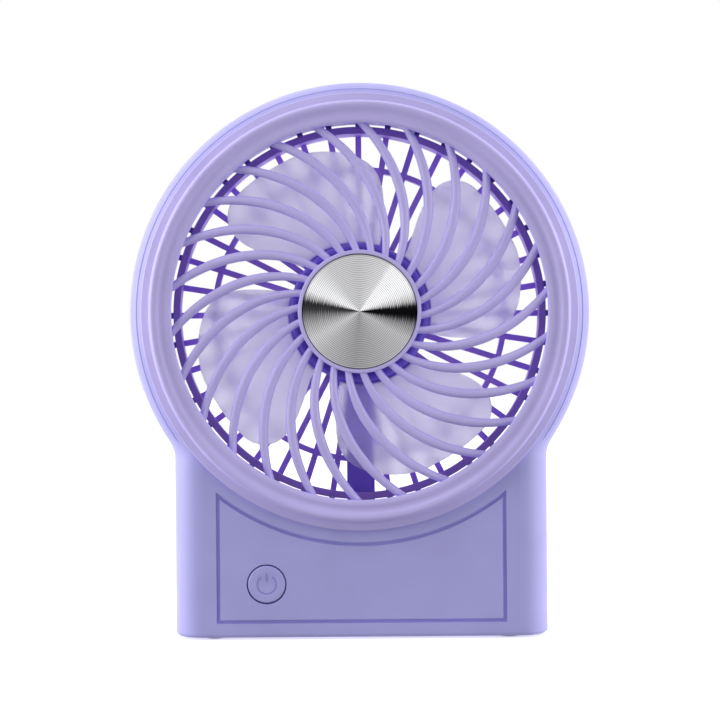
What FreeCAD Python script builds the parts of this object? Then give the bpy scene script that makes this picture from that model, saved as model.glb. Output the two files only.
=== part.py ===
import FreeCAD
import Part
import math
import os

from FreeCAD import Vector

# Rechargeable desk fan, in millimetres. +Z is up and the air leaves towards -Y.
# The origin is under the middle of the fan, on the surface that its feet stand on.
# A setback is a distance behind the bezel's crest, and a margin is a distance in from an edge.

# ---- overall sizes ----
depth = 38.0                 # front crest of the bezel to the rear face
ring_radius = 72.5           # outside of the round head
base_gap = 28.5              # underside of the base to the lowest point of the head's circle
base_width = 117.3
foot_proud = 0.6             # how far the feet stand out of the underside

# ---- housing shells ----
wall = 2.0
face_setback = 4.5
front_round = 9.5            # rounding of the housing's front edge
rear_round = 6.0
neck_radius = 10.0           # hollow curve where the base meets the head
bottom_round = 1.2
split_setback = 22.0         # parting plane
bezel_margin = 4.7
bezel_fit = 0.15             # gap round the bezel in its seat
weld = 0.2                   # how far joined pieces of one moulding run into each other
ledge_width = 5.7
ledge_lap = 1.8
rear_opening_margin = 9.5

# ---- fasteners ----
screw_radius = 1.2
screw_clearance = 0.2
screw_head_radius = 2.2
screw_head_depth = 1.6
screw_bite = 9.0
head_floor = 1.4             # plastic left under a housing screw's head
cross_length = 2.6
cross_width = 0.6
cross_depth = 0.8
post_wall = 2.0
ring_screw_angles = (35, 145, 215, 325)
screw_opening_gap = 0.1      # rear opening's edge to a post
base_screw_margin = 7.65
base_screw_height = 9.0
small_screw = 0.9
small_clearance = 0.15
small_head = 1.8
small_head_depth = 1.0
small_bite = 4.0
small_post_radius = 2.4

# ---- feet ----
foot_radius = 3.6
foot_recess = 0.6
foot_fit = 0.1
foot_margin = 12.65
foot_front_margin = 6.5
foot_rear_margin = 7.5

# ---- front grille ----
bezel_height = 7.0           # from its seat to its crest
lip_width = 9.6              # bezel's edge to its inner lip
lip_drop = 1.7
lip_thick = 1.1
bore_step = 0.6              # how far the bore stands out behind the lip
edge_proud = 1.5             # how far the bezel's edge stands out of the housing's front
band_width = 2.5             # sloped band at the bezel's edge
band_rise = 0.8
crest_inset = 4.1            # crest, valley and bead, in from the bezel's edge
valley_inset = 6.8
valley_drop = 1.1            # valley and bead, behind the crest
bead_inset = 8.2
bead_drop = 0.85
edge_round = 0.25
hollow_depth = 2.6
grille_post_wall = 1.2
grille_screw_angles = (80, 170, 260, 350)
grille_screw_bite = 3.0
rib_count = 26
rib_turn = 0.953             # degrees of turn for each millimetre outwards
rib_start_angle = 9.8
rib_root_half = 1.05
rib_end_gain = 0.1
rib_swell = 0.42
rib_half_depth = 1.6
rib_setback = 3.9
rib_arch = 0.7
rib_dip = 0.9
rib_bury = 0.7
rib_sections = 9
rib_probe = 0.05             # half the step that finds a rib's direction
boss_radius = 19.1
boss_depth = 3.8
boss_lip_proud = 0.2
boss_lip_round = 0.45
boss_floor = 1.6
badge_setback = 2.0
badge_radius = 17.8
badge_thick = 1.2
badge_fit = 0.1
badge_chamfer = 0.25
badge_shelf = 0.5            # ring that the badge's edge rests on

# ---- impeller ----
blade_count = 4
blade_thick = 1.5
blade_front_gap = 5.0        # leading part of a blade behind the hub's nose
blade_rear_gap = 0.5
blade_camber = 1.2
blade_steps = 9
sheet_extra = 0.05           # share by which the blade's sheet overruns its outline
blade_start_angle = 73.0
blade_end_angle = 149.5
tip_gap = 3.4
hub_setback = 9.0
hub_rear_gap = 6.0           # hub's rim to the spokes
hub_wall = 1.4
blade_root_bury = 1.1        # how far a blade's root runs into the hub's wall
hub_taper = 7.0
hub_lean = 1.0               # how much narrower the nose is than the rim
hub_nose_edge = 0.8
hub_boss_radius = 3.2
hub_boss_gap = 1.6
hub_fit = 1.0                # gap round the motor retainer, inside the hub

# ---- rear grille ----
spoke_inset = 6.0            # front of the spokes ahead of the rear face
spoke_count = 40
spoke_width = 1.9
spoke_depth = 3.2
middle_ring_radius = 47.5
middle_ring_width = 1.7
duct_margin = 13.1
duct_wall = 2.2
duct_length = 14.0
duct_flare = 0.8             # how much wider the duct is at the spokes
duct_taper = 0.55            # how much thinner its wall is there
flange_depth = 2.0
flange_fit = 1.0
flange_lap = 0.4             # how far the flange covers the spokes' ends
seat_lap = 0.5
cover_half = 4.5
cover_wall = 1.0
cover_depth = 3.8
cover_round = 1.0
cover_fit = 0.1
cover_overrun = 1.5

# ---- motor ----
motor_radius = 12.2
motor_length = 12.0
motor_fit = 0.1
can_wall = 0.6
cup_wall = 2.0
cup_floor_gap = 3.4          # room behind the motor for its terminals
shaft_radius = 1.0
shaft_proud = 0.6
shaft_bury = 1.0
running_fit = 0.03
bushing_radius = 2.6
front_bushing_reach = 1.8
rear_bushing_proud = 0.4
retainer_thick = 1.2
retainer_screw_gap = 2.75    # screw to the cup's wall, and to the retainer's edge
magnet_thick = 2.2
magnet_gap = 5.0
magnet_front_gap = 1.6
magnet_rear_gap = 4.2
air_gap = 0.3
retainer_hole_gap = 0.6
end_cap_thick = 1.5
terminal_x = 6.0
terminal_half = 1.2
terminal_thick = 0.4
terminal_proud = 2.2
core_front_gap = 2.4
core_rear_gap = 5.2
core_rim = 1.3
core_hub_radius = 3.0
pole_count = 3
pole_half = 1.2
pole_slot = 1.6
coil_half = 2.6
coil_end = 0.7
coil_gap = 0.1
commutator_radius = 2.2
commutator_gap = 1.0
commutator_end_gap = 0.5
brush_gap = 0.05
brush_thick = 0.25
brush_half = 0.8

# ---- wires ----
wire_radius = 0.6
wire_x = 1.6
wire_spread = 1.6
wire_lift = 2.8              # motor wires' run above the cell
wire_bend = 4.0
wire_start_gap = 0.4
wire_end_margin = 7.4
lead_lift = 0.9              # battery wires' run above the cell
lead_bend = 1.5
lead_setback = 2.5
lead_start_height = 2.0
lead_end_margin = 1.8
lead_end_gap = 0.9           # contact plate to the wire's middle

# ---- battery ----
cell_radius = 9.2
cell_length = 65.0
cell_start_x = -20.0
cell_round = 0.8
cell_step = 0.9              # button end stands out of the can
cell_button_radius = 3.2
cell_fit = 0.2
contact_thick = 0.4
contact_half = 5.0
holder_wall = 1.0
holder_end = 1.6
holder_lift = 0.2
holder_rear_gap = 0.5
holder_rise = 3.0
throat_half = 3.6

# ---- control ----
panel_margin = 13.6
panel_bottom = 4.45          # groove's lower line above the underside
panel_gap = 3.8              # groove's arc outside the bezel
groove_width = 1.15
groove_depth = 1.0
button_x = -29.5
button_height = 16.65
button_radius = 5.75
button_fit = 0.45
button_proud = 0.25
button_round = 0.5
button_travel = 0.5
button_collar_gap = 0.2
collar_width = 1.2
collar_thick = 0.9
stem_radius = 2.6
dish_radius = 24.0
dish_depth = 0.35
plunger_radius = 1.7
plunger_proud = 0.8
plunger_bury = 1.0
plunger_play = 0.1
plunger_room = 0.3
switch_half = 3.0
switch_depth = 3.5
switch_chamfer = 0.5
board_thick = 1.6
board_setback = 6.5          # behind the housing's front wall
board_start_x = -45.0
board_end_gap = 3.0
board_margin = 7.5           # board's edge beyond the button, above and below
board_lead_margin = 7.0      # board's top edge above the battery wires, at least
board_screw_margin = 3.0

# ---- charging ----
socket_x = -35.0
socket_width = 8.94
socket_height = 3.26
socket_wall = 0.3
socket_depth = 6.2
socket_front_gap = 6.6
socket_inset = 0.5
socket_fit = 0.15
tongue_half_width = 3.3
tongue_half_height = 0.35
tongue_inset = 1.2
charge_height = 7.0
charge_thick = 1.2
charge_half = 11.5
charge_rear_gap = 0.4
charge_screw_setback = 8.6
charge_front_margin = 2.6
charge_screw_margin = 3.0
lamp_offset = 8.6
lamp_radius = 0.9
lamp_fit = 0.1
lamp_inset = 0.1
lamp_reach = 4.0
lamp_foot_half = 1.4
lamp_foot_setback = 5.2
lamp_foot_depth = 3.0

# ---- room for cutting tools ----
over = 1.0                   # how far a cutter runs past the faces that it cuts
far = 300.0                  # past the whole fan
flat = 1e-4                  # how far an edge may stray and still lie in a plane

# ---- places along the depth ----
crest_y = -depth / 2
rear_y = depth / 2
face_y = crest_y + face_setback
split_y = crest_y + split_setback
seat_y = crest_y + bezel_height
badge_y = crest_y + badge_setback
boss_rear_y = badge_y + boss_depth
nose_y = crest_y + hub_setback
spoke_y = rear_y - spoke_inset
spoke_end_y = spoke_y + spoke_depth
flange_end_y = spoke_y + flange_depth
duct_y = spoke_y - duct_length
cover_y = spoke_y - cover_depth
hub_rear_y = spoke_y - hub_rear_gap
inner_rear_y = rear_y - wall
head_seat_y = flange_end_y + head_floor
motor_rear_y = spoke_y - cup_floor_gap
motor_front_y = motor_rear_y - motor_length
end_cap_y = motor_rear_y - end_cap_thick
retainer_y = motor_front_y - retainer_thick
hub_boss_end_y = retainer_y - hub_boss_gap
shaft_front_y = nose_y + shaft_bury
core_y0 = motor_front_y + core_front_gap
core_y1 = motor_rear_y - core_rear_gap
commutator_y = core_y1 + commutator_gap
board_y = face_y + wall + board_setback
board_back_y = board_y + board_thick
switch_y = board_y - switch_depth
foot_front_y = face_y + foot_front_margin
foot_rear_y = rear_y - foot_rear_margin
cell_y = inner_rear_y - holder_rear_gap - holder_wall - cell_radius
charge_screw_y = inner_rear_y - charge_screw_setback
socket_front_y = inner_rear_y - socket_front_gap
socket_rear_y = rear_y - socket_inset

# ---- heights ----
under_z = foot_proud
floor_z = under_z + wall
ring_z = under_z + base_gap + ring_radius
button_z = under_z + button_height
holder_z = floor_z + holder_lift
cell_z = holder_z + holder_wall + cell_radius
cell_top = cell_z + cell_radius
wire_z = cell_top + wire_lift
lead_z = cell_top + lead_lift
charge_z = under_z + charge_height
charge_top = charge_z + charge_thick
socket_z = charge_top + socket_height / 2

# ---- radii about the head's axis ----
bezel_radius = ring_radius - bezel_margin
lip_radius = bezel_radius - lip_width
bezel_bore = lip_radius + bore_step
rear_opening_radius = ring_radius - rear_opening_margin
duct_radius = ring_radius - duct_margin
tip_radius = duct_radius - duct_wall - tip_gap
flange_radius = ring_radius - wall - flange_fit
post_radius = screw_radius + post_wall
ring_screw_radius = rear_opening_radius + post_radius + screw_opening_gap
grille_screw_radius = bezel_radius - wall - small_screw
panel_arc_radius = bezel_radius + panel_gap
motor_bore = motor_radius + motor_fit
motor_inside = motor_radius - can_wall
cup_outer = motor_bore + cup_wall
core_radius = motor_inside - magnet_thick - air_gap
retainer_screw_offset = cup_outer + retainer_screw_gap
retainer_radius = retainer_screw_offset + retainer_screw_gap
hub_radius = retainer_radius + hub_fit + hub_wall
hub_nose_radius = hub_radius - hub_lean
seat_radius = hub_radius - seat_lap

# ---- places across the width ----
panel_half_width = base_width / 2 - panel_margin
base_screw_x = base_width / 2 - base_screw_margin
foot_x = base_width / 2 - foot_margin
board_end_x = cell_start_x - board_end_gap
board_low_z = button_z - button_radius - board_margin
board_high_z = max(button_z + button_radius + board_margin, lead_z + board_lead_margin)
cell_end_x = cell_start_x + cell_length
wire_end_x = board_end_x - wire_end_margin
lamp_x = socket_x + lamp_offset

Y_AXIS = Vector(0, 1, 0)
RING_CENTRE = Vector(0, 0, ring_z)
PARTS = {}


# ---- small helpers ----
def rod(x, z, radius, y0, y1):
    """A round bar along Y."""
    return Part.makeCylinder(radius, y1 - y0, Vector(x, y0, z), Y_AXIS)


def tube(outer, inner, y0, y1, x=0.0, z=None):
    """A pipe along Y, on the head's axis unless it is placed elsewhere."""
    height = ring_z if z is None else z
    return rod(x, height, outer, y0, y1).cut(rod(x, height, inner, y0 - over, y1 + over))


def disc(radius, y0, y1):
    return rod(0, ring_z, radius, y0, y1)


def block(x0, x1, y0, y1, z0, z1):
    return Part.makeBox(x1 - x0, y1 - y0, z1 - z0, Vector(x0, y0, z0))


def polar(radius, degrees, y=0.0):
    """A point seen from the front: degrees run anticlockwise from +X."""
    turn = math.radians(degrees)
    return Vector(radius * math.cos(turn), y, ring_z + radius * math.sin(turn))


def turned(shape, degrees):
    """A copy turned anticlockwise, seen from the front, about the head's axis."""
    copy = shape.copy()
    copy.rotate(RING_CENTRE, Y_AXIS, -degrees)
    return copy


def round_of(shape, count):
    """Copies of a shape, evenly spaced about the head's axis."""
    return [turned(shape, 360.0 / count * step) for step in range(count)]


def spin(points):
    """A ring turned from an outline of (radius, y) points about the head's axis."""
    corners = [Vector(radius, y, ring_z) for radius, y in points]
    face = Part.Face(Part.makePolygon(corners + corners[:1]))
    return face.revolve(RING_CENTRE, Y_AXIS, 360)


def fuse(shapes):
    return shapes[0].multiFuse(shapes[1:]).removeSplitter()


def keep(name, shape):
    PARTS[name] = shape


def post(x, y, radius, z0, z1):
    """A round bar that stands upright."""
    return Part.makeCylinder(radius, z1 - z0, Vector(x, y, z0))


def driven_screw(x, z, head_y, bite, toward):
    """A small screw with its head's underside at head_y; toward is 1 if it is driven from the rear."""
    if toward > 0:
        return rod(x, z, small_screw, head_y - bite, head_y).fuse(
            rod(x, z, small_head, head_y, head_y + small_head_depth))
    return rod(x, z, small_screw, head_y, head_y + bite).fuse(
        rod(x, z, small_head, head_y - small_head_depth, head_y))


# ---- housing ----
def outline(inset, low_z, y):
    """The fan seen from the front: round head, hollow neck and straight base."""
    radius = ring_radius - inset
    flank = base_width / 2 - inset
    neck = neck_radius + inset
    centre_x = flank + neck
    drop = math.sqrt((radius + neck) ** 2 - centre_x ** 2)
    share = radius / (radius + neck)
    on_ring = Vector(centre_x * share, y, ring_z - drop * share)
    on_flank = Vector(flank, y, ring_z - drop)
    turn = math.atan2(drop, centre_x)
    middle_turn = turn / 2
    on_neck = Vector(centre_x - neck * math.cos(middle_turn), y,
                     ring_z - drop + neck * math.sin(middle_turn))
    low_right = Vector(flank, y, low_z)

    def mirrored(point):
        return Vector(-point.x, point.y, point.z)

    top = Vector(0, y, ring_z + radius)
    edges = [
        Part.Arc(mirrored(on_ring), top, on_ring).toShape(),
        Part.Arc(on_ring, on_neck, on_flank).toShape(),
        Part.makeLine(on_flank, low_right),
        Part.makeLine(low_right, mirrored(low_right)),
        Part.makeLine(mirrored(low_right), mirrored(on_flank)),
        Part.Arc(mirrored(on_flank), mirrored(on_neck), mirrored(on_ring)).toShape(),
    ]
    return Part.Face(Part.Wire(edges))


def edges_at(shape, plane_y, above_z):
    """The edges that lie in a plane across Y, above a height."""
    found = []
    for edge in shape.Edges:
        box = edge.BoundBox
        in_plane = abs(box.YMin - plane_y) < flat and abs(box.YMax - plane_y) < flat
        if in_plane and box.ZMax > above_z:
            found.append(edge)
    return found


def blank(inset):
    """The whole housing as one solid, or its hollow when inset is the wall.

    It is made with a skirt below the base, which is cut off after the rounding, so that the
    rounded edges run straight out at the underside.
    """
    skirt = 2 * front_round
    front = face_y + inset
    rear = rear_y - inset
    body = outline(inset, under_z - skirt, front).extrude(Vector(0, rear - front, 0))
    body = body.makeFillet(front_round - inset, edges_at(body, front, under_z))
    body = body.makeFillet(rear_round - inset, edges_at(body, rear, under_z))
    floor = under_z + inset
    body = body.cut(block(-far, far, -far, far, floor - far, floor))
    if inset == 0:
        low = [edge for edge in body.Edges if edge.BoundBox.ZMax < floor + flat]
        body = body.makeFillet(bottom_round, low)
    return body


def screw_places():
    """Where the housing screws stand, as (x, z, is on the head)."""
    places = []
    for degrees in ring_screw_angles:
        point = polar(ring_screw_radius, degrees)
        places.append((point.x, point.z, True))
    for side in (-1, 1):
        places.append((side * base_screw_x, under_z + base_screw_height, False))
    return places


def panel_groove():
    """The fine line round the control panel: straight sides under an arc."""
    def area(inset):
        half = panel_half_width - inset
        radius = panel_arc_radius + inset
        low = under_z + panel_bottom + inset
        top = ring_z - math.sqrt(radius ** 2 - half ** 2)
        corners = [Vector(-half, face_y, low), Vector(half, face_y, low),
                   Vector(half, face_y, top), Vector(-half, face_y, top)]
        edges = [Part.makeLine(corners[0], corners[1]), Part.makeLine(corners[1], corners[2]),
                 Part.Arc(corners[2], Vector(0, face_y, ring_z - radius), corners[3]).toShape(),
                 Part.makeLine(corners[3], corners[0])]
        return Part.Face(Part.Wire(edges))

    ring = area(0).cut(area(groove_width))
    return ring.extrude(Vector(0, groove_depth, 0))


def board_places():
    """The four corners where the main board is screwed to the front shell."""
    inset = board_screw_margin
    return [(x, z) for x in (board_start_x + inset, board_end_x - inset)
            for z in (board_low_z + inset, board_high_z - inset)]


def bezel_seat(solid):
    """The ledge that the bezel rests on, with a collar that joins it to the front wall."""
    inner = bezel_radius + bezel_fit - ledge_width
    outer = bezel_radius + bezel_fit + ledge_lap
    ledge = tube(outer, inner, seat_y, seat_y + wall)
    collar = tube(outer, bezel_radius + bezel_fit, face_y + wall / 2, seat_y + wall)
    return ledge.fuse(collar.common(solid))


def front_posts():
    """Posts inside the front shell, for the housing screws and for the main board."""
    posts = []
    for x, z, on_head in screw_places():
        if on_head:
            posts.append(rod(x, z, post_radius, seat_y + wall / 2, spoke_y))
        else:
            posts.append(rod(x, z, post_radius, face_y + wall, flange_end_y))
    for x, z in board_places():
        posts.append(rod(x, z, small_post_radius, face_y + wall / 2, board_y))
    return posts


def front_holes():
    holes = [panel_groove()]
    holes.append(rod(button_x, button_z, button_radius + button_fit, face_y - over, face_y + wall + over))
    for degrees in grille_screw_angles:
        spot = polar(grille_screw_radius, degrees)
        holes.append(rod(spot.x, spot.z, small_screw + small_clearance, seat_y - over, seat_y + wall + over))
    for x, z, on_head in screw_places():
        end = spoke_y if on_head else flange_end_y
        holes.append(rod(x, z, screw_radius, end - screw_bite, end + over))
    for x, z in board_places():
        holes.append(rod(x, z, small_screw, board_y - small_bite, board_y + over))
    for x, y in foot_places():
        if y < split_y:
            holes.append(foot_pocket(x, y))
    return holes


def front_housing(solid, shell):
    body = shell.common(block(-far, far, -far, split_y, -far, far))
    body = body.cut(disc(bezel_radius + bezel_fit, face_y - over, seat_y + wall + over))
    body = fuse([body, bezel_seat(solid)] + front_posts())
    body = body.cut(disc(bezel_radius + bezel_fit - ledge_width, face_y - over, seat_y + wall + over))
    body = body.cut(disc(bezel_radius + bezel_fit, face_y - over, seat_y))
    return body.cut(front_holes())


def rear_holes():
    holes = []
    for x, z, on_head in screw_places():
        holes.append(rod(x, z, screw_radius + screw_clearance, flange_end_y - over, rear_y + over))
        holes.append(rod(x, z, screw_head_radius + screw_clearance, head_seat_y, rear_y + over))
    for x, y in charge_screw_places():
        holes.append(post(x, y, small_screw, charge_z - small_bite, charge_z + over))
    holes.append(slot_bar(socket_fit, inner_rear_y - over, rear_y + over))
    holes.append(rod(lamp_x, socket_z, lamp_radius + lamp_fit, inner_rear_y - over, rear_y + over))
    for x, y in foot_places():
        if y > split_y:
            holes.append(foot_pocket(x, y))
    return holes


def rear_housing(shell):
    body = shell.common(block(-far, far, split_y, far, -far, far))
    body = body.cut(disc(rear_opening_radius, inner_rear_y - over, rear_y + over))
    posts = [rod(x, z, post_radius, flange_end_y, inner_rear_y + wall / 2)
             for x, z, on_head in screw_places()]
    for x, y in charge_screw_places():
        posts.append(post(x, y, small_post_radius, under_z + wall / 2, charge_z))
    return fuse([body] + posts).cut(rear_holes())


def cross_recess(x, z, end_y):
    """The two bars of a cross recess, cut into a screw's head."""
    bars = []
    for turn in (0, 90):
        bar = block(-cross_length / 2, cross_length / 2, end_y - cross_depth, end_y + over,
                    -cross_width / 2, cross_width / 2)
        bar.rotate(Vector(0, 0, 0), Y_AXIS, turn)
        bar.translate(Vector(x, 0, z))
        bars.append(bar)
    return bars


def housing_screws():
    screws = []
    for x, z, on_head in screw_places():
        end = spoke_y if on_head else flange_end_y
        head_end_y = head_seat_y + screw_head_depth
        shank = rod(x, z, screw_radius, end - screw_bite, head_seat_y)
        head = rod(x, z, screw_head_radius, head_seat_y, head_end_y)
        screws.append(shank.fuse(head).cut(cross_recess(x, z, head_end_y)))
    return Part.makeCompound(screws)


# ---- feet ----
def foot_places():
    return [(x, y) for x in (-foot_x, foot_x) for y in (foot_front_y, foot_rear_y)]


def foot_pocket(x, y):
    return post(x, y, foot_radius + foot_fit, under_z - over, under_z + foot_recess)


def rubber_feet():
    pads = []
    for x, y in foot_places():
        pad = post(x, y, foot_radius, 0, foot_proud + foot_recess)
        low = [edge for edge in pad.Edges if edge.BoundBox.ZMax < flat]
        pads.append(pad.makeFillet(foot_proud / 2, low))
    return Part.makeCompound(pads)


# ---- front grille ----
def quarter(side, corner, front):
    """A quarter of an ellipse that leaves one end and reaches the other towards the corner."""
    curve = Part.BezierCurve()
    curve.setPoles([side, corner, front])
    curve.setWeight(2, math.sqrt(0.5))
    return curve.toShape()


def ogee(start, end):
    """A double curve between two levels that is flat along the radius at both ends."""
    half = (end.x - start.x) / 2
    curve = Part.BezierCurve()
    curve.setPoles([start, start + Vector(half, 0, 0), end - Vector(half, 0, 0), end])
    return curve.toShape()


def bezel_section():
    """Half of the bezel cut through: edge, band, shoulder, crest, valley, bead, lip and bore."""
    def at(inset, y):
        return Vector(bezel_radius - inset, y, ring_z)

    edge_y = face_y - edge_proud
    band_y = edge_y - band_rise
    bead_y = crest_y + bead_drop
    lip_y = crest_y + lip_drop
    back_y = lip_y + lip_thick
    bore_inset = lip_width - bore_step
    edge = [at(0, seat_y), at(0, edge_y + edge_round), at(edge_round, edge_y), at(band_width, band_y)]
    inner = [at(lip_width, lip_y), at(lip_width, back_y), at(bore_inset, back_y + bore_step),
             at(bore_inset, seat_y), at(0, seat_y)]
    crest = at(crest_inset, crest_y)
    valley = at(valley_inset, crest_y + valley_drop)
    bead = at(bead_inset, bead_y)
    lines = [Part.makeLine(first, second) for first, second in zip(edge, edge[1:])]
    lines.append(quarter(edge[-1], at(band_width, crest_y), crest))
    lines.append(ogee(crest, valley))
    lines.append(ogee(valley, bead))
    lines.append(quarter(bead, at(lip_width, bead_y), inner[0]))
    lines += [Part.makeLine(first, second) for first, second in zip(inner, inner[1:])]
    return Part.Face(Part.Wire(lines))


def bezel():
    """The ring that fills the head's front, hollow behind, with a post for each screw."""
    ring = bezel_section().revolve(RING_CENTRE, Y_AXIS, 360)
    hollow_y = seat_y - hollow_depth
    ring = ring.cut(tube(bezel_radius - wall, bezel_bore + wall, hollow_y, seat_y + over))
    post_y = hollow_y - weld
    room = tube(bezel_radius - wall + weld, bezel_bore + wall - weld, post_y, seat_y)
    posts = []
    pilots = []
    for degrees in grille_screw_angles:
        spot = polar(grille_screw_radius, degrees)
        posts.append(rod(spot.x, spot.z, small_screw + grille_post_wall, post_y, seat_y).common(room))
        pilots.append(rod(spot.x, spot.z, small_screw, seat_y - grille_screw_bite, seat_y + over))
    return ring.fuse(posts).cut(pilots)


def rib():
    """One curved rib, from under the centre boss to the wall behind the lip."""
    inner = boss_radius - rib_bury
    outer = bezel_bore + rib_bury
    rings = []
    for step in range(rib_sections):
        share = step / (rib_sections - 1)
        radius = inner + (outer - inner) * share
        centre = rib_point(radius, share)
        along = rib_point(radius + rib_probe, share) - rib_point(radius - rib_probe, share)
        side = Vector(along.z, 0, -along.x).normalize()
        half = rib_root_half + rib_end_gain * share + rib_swell * math.sin(math.pi * share)
        ellipse = Part.Ellipse(centre + Y_AXIS * rib_half_depth, centre + side * half, centre)
        rings.append(Part.Wire([ellipse.toShape()]))
    return Part.makeLoft(rings, True)


def rib_point(radius, share):
    angle = rib_start_angle + rib_turn * (radius - boss_radius)
    y = crest_y + rib_setback - rib_arch * math.sin(math.pi * share) + rib_dip * share ** 4
    return polar(radius, angle, y)


def grille_boss():
    lip_y = badge_y - boss_lip_proud
    body = disc(boss_radius, lip_y, boss_rear_y)
    body = body.cut(disc(badge_radius + badge_fit, lip_y - over, badge_y + badge_thick))
    body = body.cut(disc(badge_radius - badge_shelf, badge_y + badge_thick + boss_floor, boss_rear_y + over))
    front = [edge for edge in body.Edges
             if edge.BoundBox.YMax < lip_y + flat and edge.BoundBox.XMax > boss_radius - flat]
    return body.makeFillet(boss_lip_round, front)


def front_grille():
    return fuse([bezel(), grille_boss()] + round_of(rib(), rib_count))


def grille_screws():
    screws = []
    for degrees in grille_screw_angles:
        spot = polar(grille_screw_radius, degrees)
        screws.append(driven_screw(spot.x, spot.z, seat_y + wall, wall + grille_screw_bite, 1))
    return Part.makeCompound(screws)


def front_badge():
    body = disc(badge_radius, badge_y, badge_y + badge_thick)
    front = [edge for edge in body.Edges if edge.BoundBox.YMax < badge_y + flat]
    return body.makeChamfer(badge_chamfer, front)


# ---- impeller ----
def blade_outline():
    """One blade seen from the front: a swept leading edge, a round tip, a steep trailing edge.

    Each point is a share of the way from the axis to the tip, and degrees from the blade's side.
    """
    root_share = (hub_radius - blade_root_bury) / tip_radius
    lead = [(root_share, 0), (0.69, 4.5), (0.865, 10.5), (0.97, 25), (1, 43)]
    trail = [(1, 14), (0.985, 8.5), (0.925, 3.5), (0.70, 1.0), (0.56, 4.0), (root_share, 9.0)]
    first = [polar(tip_radius * share, blade_start_angle + angle) for share, angle in lead]
    last = [polar(tip_radius * share, blade_end_angle - angle) for share, angle in trail]
    leading = Part.BSplineCurve()
    leading.interpolate(first)
    trailing = Part.BSplineCurve()
    trailing.interpolate(last)
    tip = Part.Arc(first[-1], between(first[-1], last[0], tip_radius), last[0]).toShape()
    base = Part.Arc(last[-1], between(first[0], last[-1], tip_radius * root_share), first[0]).toShape()
    return Part.Face(Part.Wire([leading.toShape(), tip, trailing.toShape(), base]))


def between(first, second, radius):
    """The point halfway round the axis from one point to another."""
    across = (first + second) * 0.5 - RING_CENTRE
    return RING_CENTRE + across.normalize() * radius


def blade_sheet():
    """A cambered screw surface, wider than the blade, given its thickness along the axis."""
    curves = []
    span = blade_end_angle - blade_start_angle
    front = nose_y + blade_front_gap
    rise = hub_rear_y - blade_rear_gap - front
    for radius in (hub_radius - hub_wall - over, tip_radius + over):
        points = []
        for step in range(blade_steps):
            share = sheet_extra * (2 * step / (blade_steps - 1) - 1) + step / (blade_steps - 1)
            y = front + rise * (1 - share) - blade_camber * math.sin(math.pi * share)
            points.append(polar(radius, blade_start_angle + span * share, y))
        curve = Part.BSplineCurve()
        curve.interpolate(points)
        curves.append(curve.toShape())
    return Part.makeRuledSurface(curves[0], curves[1]).extrude(Vector(0, blade_thick, 0))


def blade():
    prism = blade_outline()
    prism.translate(Vector(0, crest_y - over, 0))
    prism = prism.extrude(Vector(0, depth + 2 * over, 0))
    return blade_sheet().common(prism)


def hub():
    nose = hub_nose_radius
    rim_y = nose_y + hub_taper
    inside = hub_radius - hub_wall
    body = spin([(0, nose_y), (nose - hub_nose_edge, nose_y), (nose, nose_y + hub_nose_edge),
                 (hub_radius, rim_y), (hub_radius, hub_rear_y), (inside, hub_rear_y), (inside, rim_y),
                 (nose - hub_wall, nose_y + hub_wall), (0, nose_y + hub_wall)])
    return body.fuse(disc(hub_boss_radius, nose_y + hub_wall / 2, hub_boss_end_y))


def impeller():
    body = fuse([hub()] + round_of(blade(), blade_count))
    return body.cut(disc(shaft_radius, shaft_front_y, hub_boss_end_y + over))


# ---- rear grille ----
def duct():
    """The wall round the blades; it flares towards the spokes."""
    inside = duct_radius - duct_wall
    return spin([(inside, duct_y), (duct_radius, duct_y), (duct_radius + duct_flare, spoke_end_y),
                 (inside + duct_flare + duct_taper, spoke_end_y)])


def spoke():
    half = spoke_width / 2
    bar = block(cup_outer, ring_radius, spoke_y, spoke_end_y, ring_z - half, ring_z + half)
    return bar.common(disc(rear_opening_radius, spoke_y - over, spoke_end_y + over))


def retainer_posts():
    return [rod(x, ring_z, small_post_radius, retainer_y + retainer_thick, spoke_y + over)
            for x in (-retainer_screw_offset, retainer_screw_offset)]


def rear_grille():
    middle = middle_ring_radius
    half = middle_ring_width / 2
    body = fuse([
        tube(flange_radius, rear_opening_radius - flange_lap, spoke_y, flange_end_y),
        duct(),
        tube(middle + half, middle - half, spoke_y, spoke_end_y),
        disc(seat_radius, spoke_y, spoke_end_y),
        tube(cup_outer, motor_bore, motor_front_y, spoke_y + over),
    ] + retainer_posts() + round_of(spoke(), spoke_count))
    cover_room = block(-cover_half - cover_fit, cover_half + cover_fit, cover_y - cover_fit, spoke_y,
                       ring_z - duct_radius - duct_wall, ring_z - duct_radius + duct_wall + duct_flare)
    wire_way = block(cover_wall - cover_half, cover_half - cover_wall, cover_y, spoke_y,
                     ring_z - cup_outer - over, ring_z - motor_bore + cup_wall)
    cuts = [cover_room, wire_way]
    for x in (-retainer_screw_offset, retainer_screw_offset):
        cuts.append(rod(x, ring_z, small_screw, retainer_y, motor_front_y + small_bite))
    for x, z, on_head in screw_places():
        if on_head:
            cuts.append(rod(x, z, screw_radius + screw_clearance, spoke_y - over, flange_end_y + over))
    return body.cut(cuts)


def wire_cover():
    """The upright that hides the motor's wires, open towards the spokes."""
    top = ring_z - cup_outer
    bottom = ring_z - duct_radius - cover_overrun
    body = block(-cover_half, cover_half, cover_y, spoke_y, bottom, top)
    long_edges = [edge for edge in body.Edges
                  if edge.BoundBox.ZLength > cover_depth and edge.BoundBox.YMax < cover_y + flat]
    body = body.makeFillet(cover_round, long_edges)
    cavity = block(cover_wall - cover_half, cover_half - cover_wall, cover_y + cover_wall, spoke_y + over,
                   bottom - over, top + over)
    cup = disc(cup_outer, cover_y - over, spoke_y + over)
    return body.cut([cavity, cup])


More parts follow.
